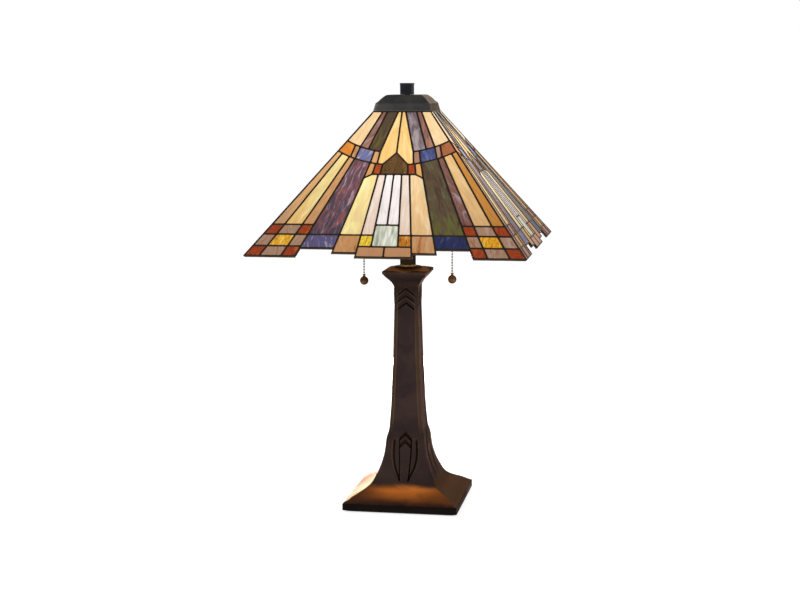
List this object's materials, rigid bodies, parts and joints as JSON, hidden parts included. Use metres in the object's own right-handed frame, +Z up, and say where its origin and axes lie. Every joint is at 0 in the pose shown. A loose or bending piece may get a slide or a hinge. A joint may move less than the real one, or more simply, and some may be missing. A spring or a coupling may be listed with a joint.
{
  "type": "stained glass table lamp",
  "caption": "Table lamp with a square tapered column on a swept foot, pull-chain sockets and a four-sided leaded glass shade with a stepped hem.",
  "frame": {"origin": "on the table under the middle of the foot", "axes": "+Z up along the column, +X to the right and -Y towards the front; the sockets and pull chains stand along X"},
  "size_m": [0.4004, 0.4004, 0.635],
  "materials": {
    "bronze": "dark antique bronze patina over cast metal, satin with rubbed copper highlights",
    "black_metal": "blackened metal, satin",
    "brass": "antique brass, spun, slightly dull",
    "steel": "plated steel",
    "iron": "raw sand-cast",
    "felt": "dark green pressed felt",
    "phenolic": "moulded, matt black-brown",
    "fibre": "vulcanised fibre sleeve",
    "bulb": "frosted inside, lit",
    "came": "soldered copper foil with dark brown patina",
    "glass_upper": "opalescent art glass: cream, tan, brown and grey-violet streaks",
    "glass_band": "opalescent art glass: orange, tan and blue-violet",
    "glass_main": "opalescent art glass: cream, white, amber, mottled purple and olive",
    "glass_border": "textured art glass: red, amber, navy, tan and pale green"
  },
  "bodies": {
    "stand": {"column_casting": "bronze", "capital_casting": "bronze", "felt_pad": "felt", "base_weight": "iron", "bottom_washer": "steel", "bottom_nut": "steel", "lamp_pipe": "steel", "cord_bushing": "phenolic", "seat_disc": "black_metal", "neck_sleeve": "black_metal", "neck_cup": "brass", "socket_yoke": "brass", "shade_rod": "brass", "rod_nut": "brass", "socket_nipple_right": "brass", "socket_cap_right": "brass", "socket_shell_right": "brass", "screw_shell_right": "brass", "chain_nozzle_right": "brass", "socket_liner_right": "fibre", "switch_body_right": "phenolic", "socket_nipple_left": "brass", "socket_cap_left": "brass", "socket_shell_left": "brass", "screw_shell_left": "brass", "chain_nozzle_left": "brass", "socket_liner_left": "fibre", "switch_body_left": "phenolic"},
    "seat": {"seat_washer": "brass"},
    "shade": {"shade_cap": "black_metal", "came_frame": "came", "glass_upper_front": "glass_upper", "glass_band_front": "glass_band", "glass_main_front": "glass_main", "glass_border_front": "glass_border", "glass_upper_right": "glass_upper", "glass_band_right": "glass_band", "glass_main_right": "glass_main", "glass_border_right": "glass_border", "glass_upper_back": "glass_upper", "glass_band_back": "glass_band", "glass_main_back": "glass_main", "glass_border_back": "glass_border", "glass_upper_left": "glass_upper", "glass_band_left": "glass_band", "glass_main_left": "glass_main", "glass_border_left": "glass_border"},
    "finial": {"finial": "black_metal"},
    "bulb_right": {"bulb_base_right": "steel", "bulb_glass_right": "bulb"},
    "link_right": {"pull_link_right": "brass"},
    "chain_right": {"bead_chain_right": "steel", "pull_ball_right": "bronze"},
    "bulb_left": {"bulb_base_left": "steel", "bulb_glass_left": "bulb"},
    "link_left": {"pull_link_left": "brass"},
    "chain_left": {"bead_chain_left": "steel", "pull_ball_left": "bronze"}
  },
  "joints": [
    {"name": "shade_turn", "type": "hinge", "parent": "stand", "child": "seat", "pos_m": [0, 0, 0.6163], "axis": [0, 0, 1], "continuous": true},
    {"name": "shade_lift", "type": "slide", "parent": "seat", "child": "shade", "axis": [0, 0, 1], "range_m": [0, 0.12]},
    {"name": "finial_turn", "type": "hinge", "parent": "shade", "child": "finial", "pos_m": [0, 0, 0.618], "axis": [0, 0, 1], "continuous": true},
    {"name": "bulb_turn_right", "type": "hinge", "parent": "stand", "child": "bulb_right", "pos_m": [0.028, 0, 0.404], "axis": [0.342, 0, 0.9397], "range_deg": [0, 1080]},
    {"name": "pull_right", "type": "slide", "parent": "stand", "child": "link_right", "axis": [0, 0, -1], "range_m": [0, 0.008], "stiffness_N_per_m": 400, "springref_m": -0.003},
    {"name": "swing_right", "type": "hinge", "parent": "link_right", "child": "chain_right", "pos_m": [0.0675, 0, 0.3968], "axis": [0, 1, 0], "range_deg": [-40, 15]},
    {"name": "bulb_turn_left", "type": "hinge", "parent": "stand", "child": "bulb_left", "pos_m": [-0.028, 0, 0.404], "axis": [-0.342, 0, 0.9397], "range_deg": [0, 1080]},
    {"name": "pull_left", "type": "slide", "parent": "stand", "child": "link_left", "axis": [0, 0, -1], "range_m": [0, 0.008], "stiffness_N_per_m": 400, "springref_m": -0.003},
    {"name": "swing_left", "type": "hinge", "parent": "link_left", "child": "chain_left", "pos_m": [-0.0675, 0, 0.3968], "axis": [0, 1, 0], "range_deg": [-15, 40]}
  ]
}
